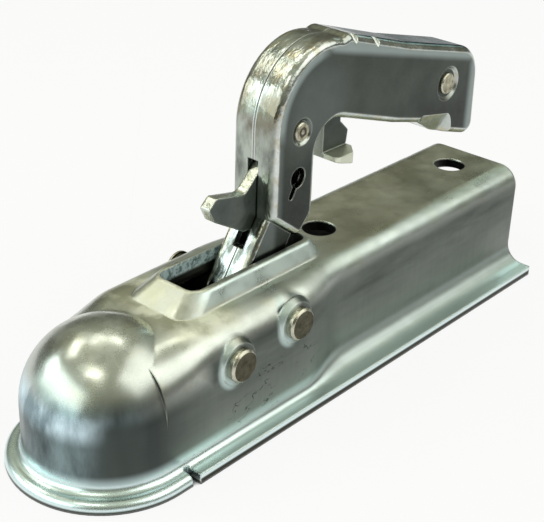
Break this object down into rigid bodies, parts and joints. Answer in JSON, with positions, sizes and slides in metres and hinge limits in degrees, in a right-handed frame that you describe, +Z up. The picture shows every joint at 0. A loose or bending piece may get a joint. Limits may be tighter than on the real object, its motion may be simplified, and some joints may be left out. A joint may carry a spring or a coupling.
{
  "type": "trailer ball coupler",
  "caption": "Pressed-steel trailer coupling head for a towing ball, with a hand lever that opens a spring-loaded jaw and a sprung safety catch.",
  "frame": {"origin": "centre of the towing ball in its seat", "axes": "+X back along the drawbar, +Z up, +Y to the right when facing forward"},
  "size_m": [0.2542, 0.0732, 0.128],
  "materials": {
    "zinc_housing": "satin",
    "zinc_lever": "satin",
    "zinc_catch": "satin",
    "pin_steel": "satin",
    "dark_steel": "matte",
    "spring_steel": "satin"
  },
  "bodies": {
    "housing": {"body_shell": "zinc_housing", "jaw_pin": "pin_steel", "lever_pin": "pin_steel", "jaw_sleeve": "pin_steel", "jaw_spacer_left": "pin_steel", "jaw_spacer_right": "pin_steel", "lever_sleeve": "pin_steel", "lever_spacer_left": "pin_steel", "lever_spacer_right": "pin_steel"},
    "lever": {"lever_shell_left": "zinc_lever", "lever_shell_right": "zinc_lever", "neck_rivet": "pin_steel", "grip_rivet": "pin_steel", "catch_sleeve": "pin_steel", "grip_sleeve": "pin_steel", "catch_spring": "spring_steel", "crank_pin": "pin_steel"},
    "jaw": {"jaw": "dark_steel", "link_pin": "pin_steel", "main_spring": "spring_steel"},
    "link": {"link": "dark_steel"},
    "catch": {"catch_plate": "zinc_catch"}
  },
  "joints": [
    {"name": "lever_pivot", "type": "hinge", "parent": "housing", "child": "lever", "pos_m": [0.0636, 0, 0.0153], "axis": [0, -1, 0], "range_deg": [0, 38]},
    {"name": "jaw_pivot", "type": "hinge", "parent": "housing", "child": "jaw", "pos_m": [0.0335, 0, 0.0115], "axis": [0, -1, 0], "range_deg": [0, 19.5], "stiffness_Nm_per_rad": 2, "springref_deg": -20.05, "deforming": ["main_spring"]},
    {"name": "link_pivot", "type": "hinge", "parent": "lever", "child": "link", "pos_m": [0.06467, 0, 0.00234], "axis": [0, -1, 0], "range_deg": [-38, 0]},
    {"name": "catch_pivot", "type": "hinge", "parent": "lever", "child": "catch", "pos_m": [0.0857, 0, 0.0757], "axis": [0, -1, 0], "range_deg": [0, 8], "stiffness_Nm_per_rad": 0.3, "springref_deg": -20.05, "deforming": ["catch_spring"]}
  ],
  "couplings": [
    {"joint": "jaw_pivot", "follows": "lever_pivot", "ratio": 0.51316},
    {"joint": "link_pivot", "follows": "lever_pivot", "ratio": -1}
  ]
}
